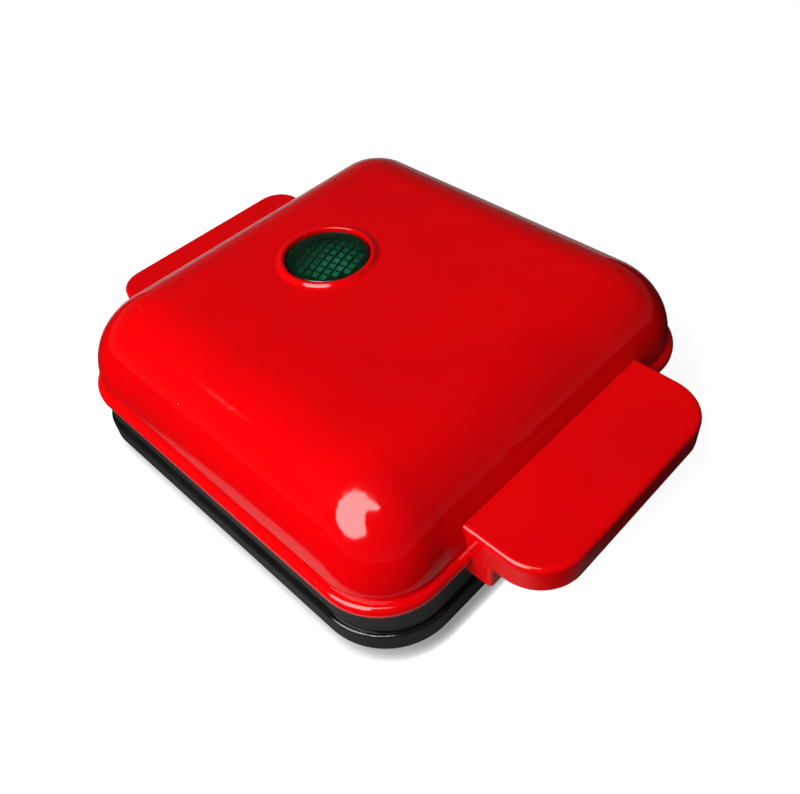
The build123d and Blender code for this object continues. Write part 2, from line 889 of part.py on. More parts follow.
def make_hinge_cover():
    """Red cover over the hinge, of the same width as the handle."""
    inner = base_half + swing_gap
    outside = paddle(handle_half, hinge_corner, inner, overhang, hinge_top, 0, hinge_low)
    outside = round_top(outside, inner, hinge_edge)
    hollow = paddle(
        handle_half - lid_wall,
        hinge_corner - lid_wall,
        inner - past,
        overhang - lid_wall,
        hinge_top - lid_wall,
        0,
        hinge_low - past,
    )
    cover = Rot(0, 0, 180) * (outside - hollow)
    for x in (-arm_middle, arm_middle):
        cover += rod(small_head, (x, hinge_screw_back, arm_top), (x, hinge_screw_back, hinge_top - past))
    cover -= lid_outside(fit_gap)
    for x in (-arm_middle, arm_middle):
        pilot_top = frame_low + hinge_screw_length + tip_gap
        pilot_end = (x, hinge_screw_back, pilot_top)
        cover -= rod(small_screw + screw_gap, (x, hinge_screw_back, hinge_low), pilot_end)
    return cover


def make_hinge_pin():
    pin = rod(pin_radius, (-pin_half, axis_back, axis_height), (pin_half, axis_back, axis_height))
    return chamfer(pin.edges().group_by(Axis.X)[0] + pin.edges().group_by(Axis.X)[-1], pin_chamfer)


def make_bottom_cover():
    cover = base_block(-base_wall - slide_gap, housing_back, rear_corner, cover_low, cover_top)
    for side in (-1, 1):
        for index in range(vent_count):
            y = (index - (vent_count - 1) / 2) * vent_pitch
            slot = Pos(side * vent_offset, y, cover_low - past) * SlotOverall(vent_length, vent_width)
            cover -= extrude(slot, cover_thickness + 2 * past)
    for x, y in cover_screw_places:
        cover -= rod(small_screw + slide_gap, (x, y, cover_low - past), (x, y, cover_top + past))
        cover -= rod(small_head + slide_gap, (x, y, cover_low - past), (x, y, cover_low + head_recess))
    for x, y in foot_places.values():
        cover -= rod(foot_stem_radius, (x, y, cover_low - past), (x, y, cover_top + past))
    return cover


def make_foot(x, y):
    """Rubber foot with a stem pressed into the cover."""
    foot = rod(foot_radius, (x, y, 0), (x, y, cover_low))
    foot = fillet(foot.edges().sort_by(Axis.Z)[0], foot_round)
    return foot + rod(foot_stem_radius, (x, y, cover_low), (x, y, cover_low + foot_stem_height))


def make_thermostat():
    """Disc thermostat against the back of the lower plate, with two tabs below."""
    high = plate_back
    low = high - thermostat_height
    body = rod(thermostat_cap, (0, 0, high - thermostat_cap_height), (0, 0, high))
    body += rod(thermostat_body, (0, 0, low), (0, 0, high))
    half = thermostat_tab_thickness / 2
    for x in (-thermostat_tab_x, thermostat_tab_x):
        foot = (x - half, -thermostat_tab / 2, low - thermostat_tab_length)
        body += block(foot, (x + half, thermostat_tab / 2, low))
    return body


def make_thermal_fuse():
    height = plate_back - fuse_radius
    body = rod(fuse_radius, (fuse_x, -fuse_length / 2, height), (fuse_x, fuse_length / 2, height))
    reach = fuse_length / 2 + fuse_lead_length
    return body + rod(fuse_lead, (fuse_x, -reach, height), (fuse_x, reach, height))


def make_fuse_clip():
    """Sheet strap over the fuse, its ears flat on the plate."""
    height = plate_back - fuse_radius
    room = fuse_radius + screw_gap
    strap = rod(room + sheet, (fuse_x, -clip_width / 2, height), (fuse_x, clip_width / 2, height))
    strap += block(
        (fuse_x - room - sheet, -clip_width / 2, height),
        (fuse_x + room + sheet, clip_width / 2, plate_back),
    )
    for side in (-1, 1):
        near, far = sorted((fuse_x + side * room, fuse_x + side * (room + clip_ear / 2)))
        strap += block((near, -clip_width / 2, plate_back - sheet), (far, clip_width / 2, plate_back))
    strap -= rod(room, (fuse_x, -clip_width, height), (fuse_x, clip_width, height))
    strap -= block((fuse_x - room, -clip_width, height), (fuse_x + room, clip_width, plate_back + past))
    return strap


def make_terminal_block():
    """Insulating block on the bottom cover where cord and inner leads meet."""
    block_low = (-block_length / 2, block_back - block_width / 2, cover_top)
    block_high = (block_length / 2, block_back + block_width / 2, cover_top + block_height)
    body = block(block_low, block_high)
    pitch = block_length / block_ways
    for way in range(block_ways):
        x = (way - (block_ways - 1) / 2) * pitch
        z = cover_top + block_height / 2
        body -= rod(block_entry, (x, block_back - block_width, z), (x, block_back + block_width, z))
    return body


def make_bushing():
    """Ring in the rear housing that the cord would come in through."""
    front = housing_back - base_wall - bushing_lip
    bushing = rod(bushing_radius, (0, front, inlet_height), (0, housing_back, inlet_height))
    end = housing_back + bushing_lip
    bushing += rod(bushing_flange, (0, housing_back, inlet_height), (0, end, inlet_height))
    bushing -= rod(cord_radius, (0, front - past, inlet_height), (0, end + past, inlet_height))
    return bushing


# Build every piece and write it out
lower_plate = make_lower_plate()
lower_element = element_tube(element_radius, True)
plate_screw_seat = pan_top - sheet
pieces = {
    "lid_cover": make_lid_cover(),
    "front_handle": make_front_handle(),
    "rear_hinge_cover": make_hinge_cover(),
    "lid_frame": make_lid_frame(),
    "indicator_lens": make_lens(),
    "lamp_holder": make_lamp_holder(),
    "indicator_lamp": make_lamp(),
    "upper_waffle_plate": flip(lower_plate),
    "upper_heating_element": flip(lower_element),
    "upper_reflector": flip(make_reflector(False)),
    "base_shell": make_base_shell(),
    "bottom_cover": make_bottom_cover(),
    "lower_waffle_plate": lower_plate,
    "lower_heating_element": lower_element,
    "lower_reflector": make_reflector(True),
    "thermostat": make_thermostat(),
    "thermal_fuse": make_thermal_fuse(),
    "fuse_clip": make_fuse_clip(),
    "terminal_block": make_terminal_block(),
    "cord_bushing": make_bushing(),
    "hinge_pin": make_hinge_pin(),
}
for name, (x, y) in foot_places.items():
    pieces[name] = make_foot(x, y)

head_up = Rot(180, 0, 0)
pieces["lower_plate_screws"] = screw_group(
    [(Pos(x, y, plate_screw_seat) * head_up, plate_screw_length) for x, y in four_corners(boss_x, boss_y)]
)
upper_seat = 2 * meeting_height - plate_screw_seat
pieces["upper_plate_screws"] = screw_group(
    [(Pos(x, y, upper_seat), plate_screw_length) for x, y in four_corners(boss_x, boss_y)]
)
cover_seat = cover_low + head_recess
pieces["bottom_cover_screws"] = screw_group(
    [(Pos(x, y, cover_seat) * head_up, cover_screw_length) for x, y in cover_screw_places]
)
frame_seat = frame_low + small_head_height
pieces["lid_frame_screws"] = screw_group(
    [(Pos(x, y, frame_seat) * head_up, frame_screw_length) for x, y in four_corners(lid_boss, lid_boss)]
)
pieces["handle_screws"] = screw_group(
    [
        (Pos(x, -dome_inside, handle_screw_height) * Rot(-90, 0, 0), handle_screw_length)
        for x in (-handle_screw_x, handle_screw_x)
    ]
)
pieces["hinge_cover_screws"] = screw_group(
    [
        (Pos(x, hinge_screw_back, frame_low) * head_up, hinge_screw_length)
        for x in (-arm_middle, arm_middle)
    ]
)
holder_low = lens_flange_low - holder_thickness
pieces["lamp_holder_screws"] = screw_group(
    [(Pos(x, lens_back, holder_low) * head_up, lamp_screw_length) for x in (-holder_ear, holder_ear)]
)

os.makedirs("parts", exist_ok=True)
for name, piece in pieces.items():
    export_step(piece, f"parts/{name}.step")
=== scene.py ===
# %% [markdown]
# # A mini waffle maker, dressed around its CAD model
#
# The CAD model of this waffle maker already exists: it fixes every size, and its lid turns on a
# hinge. This lesson gives it its looks. We load the model as a fixed frame, set up the camera and
# the light of the photograph, mix a finish for each material, even out the glossy shells, and
# model by hand the one piece that the CAD model keeps plain: the green lens with its studs.
# Everything is in metres, with X to the right, Y from the front handle to the hinge and Z up.

# %% Load the model
import bmesh
import bpy
import json
from math import asin, atan2, cos, pi, radians, sin, sqrt
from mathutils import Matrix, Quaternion, Vector

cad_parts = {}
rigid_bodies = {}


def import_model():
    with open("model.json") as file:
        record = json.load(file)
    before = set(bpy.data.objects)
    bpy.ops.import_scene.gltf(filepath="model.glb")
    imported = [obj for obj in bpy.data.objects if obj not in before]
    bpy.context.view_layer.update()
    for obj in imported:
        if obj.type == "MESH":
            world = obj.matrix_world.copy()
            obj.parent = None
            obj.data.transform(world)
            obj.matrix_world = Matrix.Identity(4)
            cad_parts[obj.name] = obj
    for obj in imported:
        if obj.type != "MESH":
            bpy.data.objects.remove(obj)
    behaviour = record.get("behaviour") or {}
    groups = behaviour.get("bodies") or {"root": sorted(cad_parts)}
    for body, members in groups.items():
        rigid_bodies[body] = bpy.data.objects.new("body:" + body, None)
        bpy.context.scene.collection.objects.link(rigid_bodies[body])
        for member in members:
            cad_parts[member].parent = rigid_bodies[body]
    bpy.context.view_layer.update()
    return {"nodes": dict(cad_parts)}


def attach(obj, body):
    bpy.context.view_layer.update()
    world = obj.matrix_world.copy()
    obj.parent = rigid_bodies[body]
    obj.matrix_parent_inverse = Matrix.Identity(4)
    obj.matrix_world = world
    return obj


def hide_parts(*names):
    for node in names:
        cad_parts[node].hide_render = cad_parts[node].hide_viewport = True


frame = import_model()
nodes = frame["nodes"]
scene = bpy.context.scene
MM = 0.001
print("pieces in the model:", len(nodes))

# %% [markdown]
# ## The camera
#
# The photograph looks down on the near left corner from close by, so its perspective is strong.
# We could drag a camera about until the view looks right. It is better to write it as a
# photographer would: the point it aims at, how far away it stands, the direction it looks from,
# the focal length, and a slight tilt of the horizon. Each of these was worked out by lining up
# the edges of the lid, the handle and the lens with the photograph.

# %% Camera
AIM = Vector((0.88, -5.28, 16.64)) * MM
CAMERA_DISTANCE = 253.24 * MM
CAMERA_TURN = radians(-41.26)
CAMERA_LIFT = radians(46.67)
CAMERA_TILT = radians(-6.57)
FOCAL_LENGTH = 36.7
SENSOR_WIDTH = 36.0
NEAREST_SEEN = 5 * MM


def direction(turn, lift):
    """Unit vector to something at this turn from the front and this height above the horizon."""
    return Vector((sin(turn) * cos(lift), -cos(turn) * cos(lift), sin(lift)))


towards_camera = direction(CAMERA_TURN, CAMERA_LIFT)
camera_data = bpy.data.cameras.new("camera")
camera_data.sensor_width = SENSOR_WIDTH
camera_data.lens = FOCAL_LENGTH
camera_data.clip_start = NEAREST_SEEN
camera = bpy.data.objects.new("camera", camera_data)
scene.collection.objects.link(camera)
camera.location = AIM + towards_camera * CAMERA_DISTANCE
level = (-towards_camera).to_track_quat("-Z", "Y")
camera.rotation_mode = "QUATERNION"
camera.rotation_quaternion = level @ Quaternion((0, 0, 1), CAMERA_TILT)
scene.camera = camera
print("camera at, in mm:", [round(value / MM) for value in camera.location])

# %% [markdown]
# ## Helpers for finishes
#
# A finish in Blender is a small graph of nodes around one Principled shader. All our finishes
# need the same few things: a noise at some scale, a way to turn it into a colour or a number,
# and a bump. We write these once, as short functions, so that each finish below reads like a
# recipe. Coordinates come from the object itself, in metres, so a scale of 1000 gives one
# feature for each millimetre whatever the piece.

# %% Helpers for finishes


class Finish:
    """A material with one Principled shader, and short ways to add nodes to it."""

    def __init__(self, name, colour, roughness, metallic=0.0):
        self.material = bpy.data.materials.new(name)
        self.material.use_nodes = True
        self.nodes = self.material.node_tree.nodes
        self.links = self.material.node_tree.links
        self.shader = self.nodes["Principled BSDF"]
        self.set("Base Color", (*colour, 1))
        self.set("Roughness", roughness)
        self.set("Metallic", metallic)
        self.place = self.nodes.new("ShaderNodeTexCoord").outputs["Object"]

    def set(self, socket, value):
        self.shader.inputs[socket].default_value = value

    def wire(self, output, socket):
        self.links.new(output, self.shader.inputs[socket])

    def stretched(self, scale):
        """Coordinates multiplied by a different number along each axis."""
        mapping = self.nodes.new("ShaderNodeMapping")
        mapping.inputs["Scale"].default_value = scale
        self.links.new(self.place, mapping.inputs["Vector"])
        return mapping.outputs["Vector"]

    def axis(self, vector, letter):
        """One coordinate of a vector: X, Y or Z."""
        split = self.nodes.new("ShaderNodeSeparateXYZ")
        self.links.new(vector, split.inputs["Vector"])
        return split.outputs[letter]

    def distance_from(self, place):
        """How far each point of the surface is from this place, in metres."""
        node = self.nodes.new("ShaderNodeVectorMath")
        node.operation = "DISTANCE"
        node.inputs[1].default_value = place
        self.links.new(self.place, node.inputs[0])
        return node.outputs["Value"]

    def noise(self, scale, detail=2.0, place=None):
        """Cloudy values, mostly between 0.3 and 0.7."""
        node = self.nodes.new("ShaderNodeTexNoise")
        node.inputs["Scale"].default_value = scale
        node.inputs["Detail"].default_value = detail
        self.links.new(place or self.place, node.inputs["Vector"])
        return node.outputs["Fac"]

    def cells(self, scale, output="Distance"):
        """Distance from, or random colour of, the nearest of many scattered points."""
        node = self.nodes.new("ShaderNodeTexVoronoi")
        node.inputs["Scale"].default_value = scale
        self.links.new(self.place, node.inputs["Vector"])
        return node.outputs[output]

    def between(self, value, low, high, to_low=0.0, to_high=1.0):
        """A value from low to high, mapped to another range and held there."""
        node = self.nodes.new("ShaderNodeMapRange")
        node.inputs["From Min"].default_value = low
        node.inputs["From Max"].default_value = high
        node.inputs["To Min"].default_value = to_low
        node.inputs["To Max"].default_value = to_high
        self.links.new(value, node.inputs["Value"])
        return node.outputs["Result"]

    def maths(self, operation, first, second):
        node = self.nodes.new("ShaderNodeMath")
        node.operation = operation
        for index, value in enumerate((first, second)):
            if isinstance(value, (int, float)):
                node.inputs[index].default_value = value
            else:
                self.links.new(value, node.inputs[index])
        return node.outputs["Value"]

    def mix(self, amount, first, second):
        """One colour turning into another; either may come from an earlier mix."""
        node = self.nodes.new("ShaderNodeMix")
        node.data_type = "RGBA"
        self.links.new(amount, node.inputs["Factor"])
        colour_sockets = [socket for socket in node.inputs if socket.type == "RGBA"]
        for socket, colour in zip(colour_sockets, (first, second)):
            if isinstance(colour, tuple):
                socket.default_value = (*colour, 1)
            else:
                self.links.new(colour, socket)
        return next(socket for socket in node.outputs if socket.type == "RGBA")

    def bump(self, height, depth):
        """Height from 0 to 1 becomes relief of this depth in metres."""
        node = self.nodes.new("ShaderNodeBump")
        node.inputs["Strength"].default_value = 1.0
        node.inputs["Distance"].default_value = depth
        self.links.new(height, node.inputs["Height"])
        self.wire(node.outputs["Normal"], "Normal")


def per_mm(count):
    """Texture scale that gives this many features to a millimetre."""
    return count / MM


# Ranges of the noise: nearly all of it, its middle, and its upper part
CLOUD = (0.3, 0.7)
MIDDLE_CLOUD = (0.35, 0.65)
UPPER_CLOUD = (0.4, 0.7)
print("helpers ready, noise taken from", CLOUD[0], "to", CLOUD[1])

# %% [markdown]
# ## The colours of the white table
#
# The photograph shows the waffle maker on pure white, yet its lid stays a deep red, and its
# lower edges mirror only a grey band: the table was not as bright as it looks in the picture. A
# white world would have been quicker, but it would lay a pale veil over every glossy surface. So
# the table has two faces. To the camera it is white all over, with a little glow that lifts the
# long shadow, and a painted contact shadow darkens it only where it nearly touches the waffle
# maker. To mirrors and bounced light its colour is painted light and shade: a grey pool of
# painted light on a dark table, palest on the left where the soft light stands, and painted shade
# close under the waffle maker. The Light Path node tells the two apart. From below the table is
# clear.

# %% The colours of the white table
NOTHING = (0.0, 0.0, 0.0)
STRAIGHT_UP = (0.0, 0.0, 1.0)
WHITE = (0.30, 0.30, 0.30)
TABLE_ROUGHNESS = 0.9
CAMERA_GLOW = 0.90
CONTACT_REACH = 4 * MM
CONTACT_FROM = (-0.35, 0.85, 0.30)
CONTACT_DEPTH = 4.0
# Painted light and shade for mirrors and bounced light: a pool of painted light on a dark table,
# and painted shade close to the waffle maker.
PAINTED_POOL_RADIUS = 0.104
PAINTED_POOL_FADE = 0.010
PAINTED_POOL_SPREAD = 0.40
PAINTED_LIGHT_CENTRE = (-0.125, -0.040, 0.0)
PAINTED_LIGHT_REACH = 0.150
PALE = (0.55, 0.55, 0.55)
DIM = (0.015, 0.015, 0.015)
BEHIND_FROM = 0.03
BEHIND_TO = 0.15
TABLE_DARK = (0.015, 0.015, 0.015)
PAINTED_SHADE_REACH = 25 * MM
PAINTED_SHADE_DEPTH = 1.9


def painted_pool_colour(finish):
    """Painted light and shade that mirrors and bounced light see on the table: a grey pool, palest
    near the soft light, dark close under the waffle maker.
    """
    turned = finish.nodes.new("ShaderNodeMapping")
    turned.vector_type = "TEXTURE"
    turned.inputs["Rotation"].default_value = (0, 0, CAMERA_TURN)
    finish.links.new(finish.place, turned.inputs["Vector"])
    sideways = finish.axis(turned.outputs["Vector"], "X")
    backwards = finish.axis(turned.outputs["Vector"], "Y")
    behind = finish.maths("MAXIMUM", backwards, 0.0)
    in_front = finish.maths("MINIMUM", backwards, 0.0)
    across = finish.maths("POWER", sideways, 2.0)
    along = finish.maths("POWER", in_front, 2.0)
    reach = finish.maths("POWER", finish.maths("ADD", across, along), 0.5)
    past_edge = finish.maths("SUBTRACT", reach, finish.maths("MULTIPLY", behind, PAINTED_POOL_SPREAD))
    away = finish.between(past_edge, PAINTED_POOL_RADIUS, PAINTED_POOL_RADIUS + PAINTED_POOL_FADE)
    # Painted light: the pool is palest near the soft light on the left and behind, and dims away
    # from it.
    fade = finish.between(finish.distance_from(PAINTED_LIGHT_CENTRE), 0.0, PAINTED_LIGHT_REACH)
    beside = finish.between(behind, BEHIND_FROM, BEHIND_TO, to_low=1.0, to_high=0.0)
    fade = finish.maths("MULTIPLY", fade, beside)
    sheet = finish.mix(away, finish.mix(fade, PALE, DIM), TABLE_DARK)
    # Painted shade: mirrors see the table go dark close under the waffle maker.
    near = contact_shade(finish, PAINTED_SHADE_REACH, STRAIGHT_UP, PAINTED_SHADE_DEPTH)
    return finish.mix(near, NOTHING, sheet)


def contact_shade(finish, reach, towards, depth):
    """1 in the open, less where something stands close over the table in this direction."""
    near = finish.nodes.new("ShaderNodeAmbientOcclusion")
    near.inputs["Distance"].default_value = reach
    tilt = finish.nodes.new("ShaderNodeCombineXYZ")
    for axis, value in zip("XYZ", towards):
        tilt.inputs[axis].default_value = value
    finish.links.new(tilt.outputs["Vector"], near.inputs["Normal"])
    return finish.maths("POWER", near.outputs["AO"], depth)


def white_table():
    finish = Finish("white_table", WHITE, TABLE_ROUGHNESS)
    finish.set("Specular IOR Level", 0.0)
    seen = finish.nodes.new("ShaderNodeLightPath").outputs["Is Camera Ray"]
    # Painted contact shadow: the white and its glow darken where the waffle maker stands close
    # over the table.
    shade = contact_shade(finish, CONTACT_REACH, CONTACT_FROM, CONTACT_DEPTH)
    shaded_white = finish.mix(shade, NOTHING, WHITE)
    finish.wire(finish.mix(seen, painted_pool_colour(finish), shaded_white), "Base Color")
    glow = finish.maths("MULTIPLY", finish.maths("MULTIPLY", seen, shade), CAMERA_GLOW)
    finish.set("Emission Color", (1, 1, 1, 1))
    finish.wire(glow, "Emission Strength")
    below = finish.nodes.new("ShaderNodeNewGeometry").outputs["Backfacing"]
    finish.wire(finish.maths("SUBTRACT", 1.0, below), "Alpha")
    return finish.material


table_finish = white_table()
print("sheet reaches", PAINTED_POOL_RADIUS, "m to the front; shade under an edge", CONTACT_REACH, "m")

# %% [markdown]
# ## The shape of the table
#
# The table is one flat square, wide enough to fill the view. A closed square would keep all light
# from the underside of the waffle maker, and the feet and the bottom cover would be black in a
# view from below. A lamp under the table would be in the way of such a view. So the table has an
# opening where the waffle maker hides it from above, and light from below the table comes in
# through it.

# %% The shape of the table
TABLE_HALF = 12.0
OPENING_HALF = 54 * MM
OPENING_CORNER = 40 * MM
QUARTERS = 4


def table_mesh():
    """A flat square with an eight-sided opening in the middle: eight faces around it."""
    places, faces = [], []
    for quarter in range(QUARTERS):
        turn = Quaternion((0, 0, 1), quarter * pi / 2)
        places.append(turn @ Vector((TABLE_HALF, -TABLE_HALF, 0)))
        places.append(turn @ Vector((OPENING_CORNER, -OPENING_HALF, 0)))
        places.append(turn @ Vector((OPENING_HALF, -OPENING_CORNER, 0)))
    for quarter in range(QUARTERS):
        outer, first, second = (3 * quarter + k for k in range(3))
        next_outer, next_first = (outer + 3) % len(places), (first + 3) % len(places)
        faces.append((outer, second, first))
        faces.append((outer, next_outer, next_first, second))
    mesh = bpy.data.meshes.new("table")
    mesh.from_pydata(places, [], faces)
    return mesh


table = bpy.data.objects.new("table", table_mesh())
scene.collection.objects.link(table)
table.data.materials.append(table_finish)
print("table:", len(table.data.polygons), "faces, and half a side is", TABLE_HALF, "m")

# %% [markdown]
# ## The dim room
#
# A glossy lid mirrors the whole room, so the room behind the camera shows in it. A bright room
# would make the red milky. This one is dim, and a little lighter at the horizon, which gives the
# far edges of the lid their grey line. To the camera it is plain white. The half below the table
# is brighter, for the views from below.

# %% The dim room
ROOM_TOP = 0.035
ROOM_HORIZON = 0.09
HORIZON_SINE = 0.28
LIGHT_BELOW = 0.7
BELOW_SINE = -0.02

room = bpy.data.worlds.new("room")
room.use_nodes = True
room_nodes = room.node_tree.nodes
room_links = room.node_tree.links
look = room_nodes.new("ShaderNodeTexCoord")
axes = room_nodes.new("ShaderNodeSeparateXYZ")
rise = room_nodes.new("ShaderNodeMapRange")
rise.interpolation_type = "SMOOTHSTEP"
rise.inputs["From Max"].default_value = HORIZON_SINE
rise.inputs["To Min"].default_value = ROOM_HORIZON
rise.inputs["To Max"].default_value = ROOM_TOP
room_links.new(look.outputs["Generated"], axes.inputs["Vector"])
room_links.new(axes.outputs["Z"], rise.inputs["Value"])
below = room_nodes.new("ShaderNodeMath")
below.operation = "LESS_THAN"
below.inputs[1].default_value = BELOW_SINE
room_links.new(axes.outputs["Z"], below.inputs[0])
halves = room_nodes.new("ShaderNodeMix")
halves.inputs["B"].default_value = LIGHT_BELOW
room_links.new(below.outputs["Value"], halves.inputs["Factor"])
room_links.new(rise.outputs["Result"], halves.inputs["A"])
background = room_nodes["Background"]
background.inputs["Color"].default_value = (1, 1, 1, 1)
room_ray = room_nodes.new("ShaderNodeLightPath")
room_look = room_nodes.new("ShaderNodeMix")
room_look.inputs["B"].default_value = 1.0
room_links.new(room_ray.outputs["Is Camera Ray"], room_look.inputs["Factor"])
room_links.new(halves.outputs["Result"], room_look.inputs["A"])
room_links.new(room_look.outputs["Result"], background.inputs["Strength"])
scene.world = room
scene.view_settings.view_transform = "Standard"
print("room:", ROOM_TOP, "overhead,", ROOM_HORIZON, "at the horizon,", LIGHT_BELOW, "from below")

# %% [markdown]
# ## The soft light
#
# One large soft light on the left does nearly all the work. We know its shape, because the near
# corner of the lid mirrors it: a tall pale spot with a long tip at the top and a notch under it.
# An area lamp can only be round or square, so we cut the shape from a flat mesh and let it glow.
# A handful of points and a smooth curve through them are enough for its outline. The light
# stands less than a metre away, so that it fades a little towards the far side, and its
# brightness is chosen so that a colour that faces up renders about as it is written. A small
# weak light further back draws the fine pale line on the left shoulder.

# %% The soft light
LIGHT_DISTANCE = 0.9
NEAR_SHOULDER = Vector((-57, -45, 50)) * MM
CURVE_STEPS = 8


def smooth_loop(points):
    """Closed curve that passes through every point without a corner."""
    loop = []
    for index in range(len(points)):
        four = [Vector(points[(index + k) % len(points)]) for k in (-1, 0, 1, 2)]
        before, here, after, later = four
        for step in range(CURVE_STEPS):
            t = step / CURVE_STEPS
            bend = (2 * before - 5 * here + 4 * after - later) * t * t
            sway = (3 * here - before - 3 * after + later) * t * t * t
            loop.append((2 * here + (after - before) * t + bend + sway) / 2)
    return loop


def glow_panel(name, towards, outline, strength):
    """Flat glowing shape. The outline is for a distance of one metre, to the right and up."""
    finish = Finish(name, NOTHING, 1.0)
    finish.set("Specular IOR Level", 0.0)
    finish.set("Emission Color", (1, 1, 1, 1))
    finish.set("Emission Strength", strength)
    mesh = bpy.data.meshes.new(name)
    places = [(x * LIGHT_DISTANCE, y * LIGHT_DISTANCE, 0) for x, y in outline]
    mesh.from_pydata(places, [], [tuple(range(len(places)))])
    mesh.materials.append(finish.material)
    panel = bpy.data.objects.new(name, mesh)
    scene.collection.objects.link(panel)
    panel.location = NEAR_SHOULDER + towards * LIGHT_DISTANCE
    panel.rotation_mode = "QUATERNION"
    panel.rotation_quaternion = towards.to_track_quat("Z", "Y")
    return panel


KEY_TOWARDS = Vector((-0.74, 0.033, 0.672)).normalized()
KEY_STRENGTH = 8.4
KEY_LEFT = [(-0.38, -0.27), (-0.37, 0.07), (-0.13, 0.41)]
KEY_TIP = [(0.18, 0.54), (0.55, 0.57), (0.51, 0.44)]
KEY_NOTCH = [(0.26, 0.26), (0.39, 0.04), (0.49, -0.15)]
KEY_FOOT = [(0.31, -0.32), (-0.06, -0.42)]
KEY_POINTS = KEY_LEFT + KEY_TIP + KEY_NOTCH + KEY_FOOT
glow_panel("soft_light", KEY_TOWARDS, smooth_loop(KEY_POINTS), KEY_STRENGTH)

GLINT_TOWARDS = Vector((-0.50, 0.68, 0.54)).normalized()
GLINT_STRENGTH = 0.8
GLINT_SIZE = 0.03
glint_points = [(GLINT_SIZE, 0), (0, GLINT_SIZE), (-GLINT_SIZE, 0), (0, -GLINT_SIZE)]
glow_panel("small_light", GLINT_TOWARDS, smooth_loop(glint_points), GLINT_STRENGTH)
print("soft light at", [round(value, 2) for value in KEY_TOWARDS])

# %% [markdown]
# ## Glossy plastics
#
# The lid, the handle and the hinge cover are red plastic from a polished mould. Such a surface
# is never a perfect mirror: it has a very faint orange peel, the colour drifts a little where
# the melt cooled, and a few specks of dust lie on it. The base is the same plastic in black.
# One recipe with two colours serves both.

# %% Glossy plastics
RED = (0.80, 0.0, 0.001)
DEEP_RED = (0.72, 0.0, 0.002)
BLACK = (0.004, 0.004, 0.004)
SOOT = (0.009, 0.009, 0.009)
DUST = (0.75, 0.60, 0.58)
DUST_CELLS = per_mm(0.22)
DUST_SIZE = (0.022, 0.03)
DUST_SHARE = (0.80, 0.81)
POLISH = (0.07, 0.13)
PEEL_DEPTH = 0.004 * MM


def polished_plastic(name, colour, deeper, dust):
    finish = Finish(name, colour, 0.1)
    finish.set("IOR", 1.5)
    drift = finish.between(finish.noise(per_mm(0.03)), *MIDDLE_CLOUD)
    body = finish.mix(drift, colour, deeper)
    speck = finish.between(finish.cells(DUST_CELLS), *DUST_SIZE, to_low=1.0, to_high=0.0)
    rare = finish.between(finish.cells(DUST_CELLS, "Color"), *DUST_SHARE)
    speck = finish.maths("MULTIPLY", finish.maths("MULTIPLY", speck, rare), dust)
    finish.wire(finish.mix(speck, body, DUST), "Base Color")
    smear = finish.noise(per_mm(0.06), detail=4.0)
    finish.wire(finish.between(smear, *CLOUD, *POLISH), "Roughness")
    finish.bump(finish.noise(per_mm(0.35), detail=1.0), depth=PEEL_DEPTH)
    return finish.material


red_plastic = polished_plastic("red_plastic", RED, DEEP_RED, dust=0.8)
black_plastic = polished_plastic("black_plastic", BLACK, SOOT, dust=0.25)
print("polished:", red_plastic.name, "and", black_plastic.name)

# %% [markdown]
# ## Matt plastic and the non-stick coat
#
# These come into view when the lid opens or the waffle maker is turned over. The frame and the
# bottom cover are matt black, with the fine grain of a spark-eroded mould. The plates have a
# dark non-stick coat with tiny bright flecks. We could paint the flecks as an image. Scattered
# cells give them on every face alike, with no seam, and only the cells with a high random
# colour get one.

# %% Matt plastic and the non-stick coat
FRAME_BLACK = (0.012, 0.012, 0.012)
COAT = (0.045, 0.045, 0.048)
PALE_COAT = (0.060, 0.058, 0.060)
FLECK = (0.20, 0.20, 0.21)
FLECK_CELLS = per_mm(1.6)
FLECK_SIZE = (0.10, 0.16)
FLECK_SHARE = (0.72, 0.74)


def matt_plastic(name, colour):
    finish = Finish(name, colour, 0.5)
    grain = finish.noise(per_mm(2.5), detail=3.0)
    finish.wire(finish.between(grain, *CLOUD, to_low=0.45, to_high=0.62), "Roughness")
    finish.wire(finish.mix(finish.between(grain, *MIDDLE_CLOUD), colour, SOOT), "Base Color")
    finish.bump(grain, depth=0.03 * MM)
    return finish.material


def nonstick_coat(name):
    finish = Finish(name, COAT, 0.4)
    point = finish.between(finish.cells(FLECK_CELLS), *FLECK_SIZE, to_low=1.0, to_high=0.0)
    rare = finish.between(finish.cells(FLECK_CELLS, "Color"), *FLECK_SHARE)
    drift = finish.between(finish.noise(per_mm(0.08), detail=3.0), *CLOUD)
    body = finish.mix(drift, COAT, PALE_COAT)
    finish.wire(finish.mix(finish.maths("MULTIPLY", point, rare), body, FLECK), "Base Color")
    wear = finish.noise(per_mm(0.9), detail=3.0)
    finish.wire(finish.between(wear, *CLOUD, to_low=0.30, to_high=0.42), "Roughness")
    finish.bump(finish.noise(per_mm(1.2)), depth=0.012 * MM)
    return finish.material


frame_plastic = matt_plastic("matt_black_plastic", FRAME_BLACK)
plate_coat = nonstick_coat("nonstick_coat")
print("made:", frame_plastic.name, "and", plate_coat.name)

# %% [markdown]
# ## Metals
#
# The heating elements are steel tubes stained by heat, the reflectors are rolled aluminium, and
# the screws, the pin and the small cans are zinc-plated steel. All are the same shader with
# metallic at 1, so what tells them apart is where the colour changes and which way the scratches
# run. Rolled sheet has long lines one way only: we stretch the coordinates of its noise.

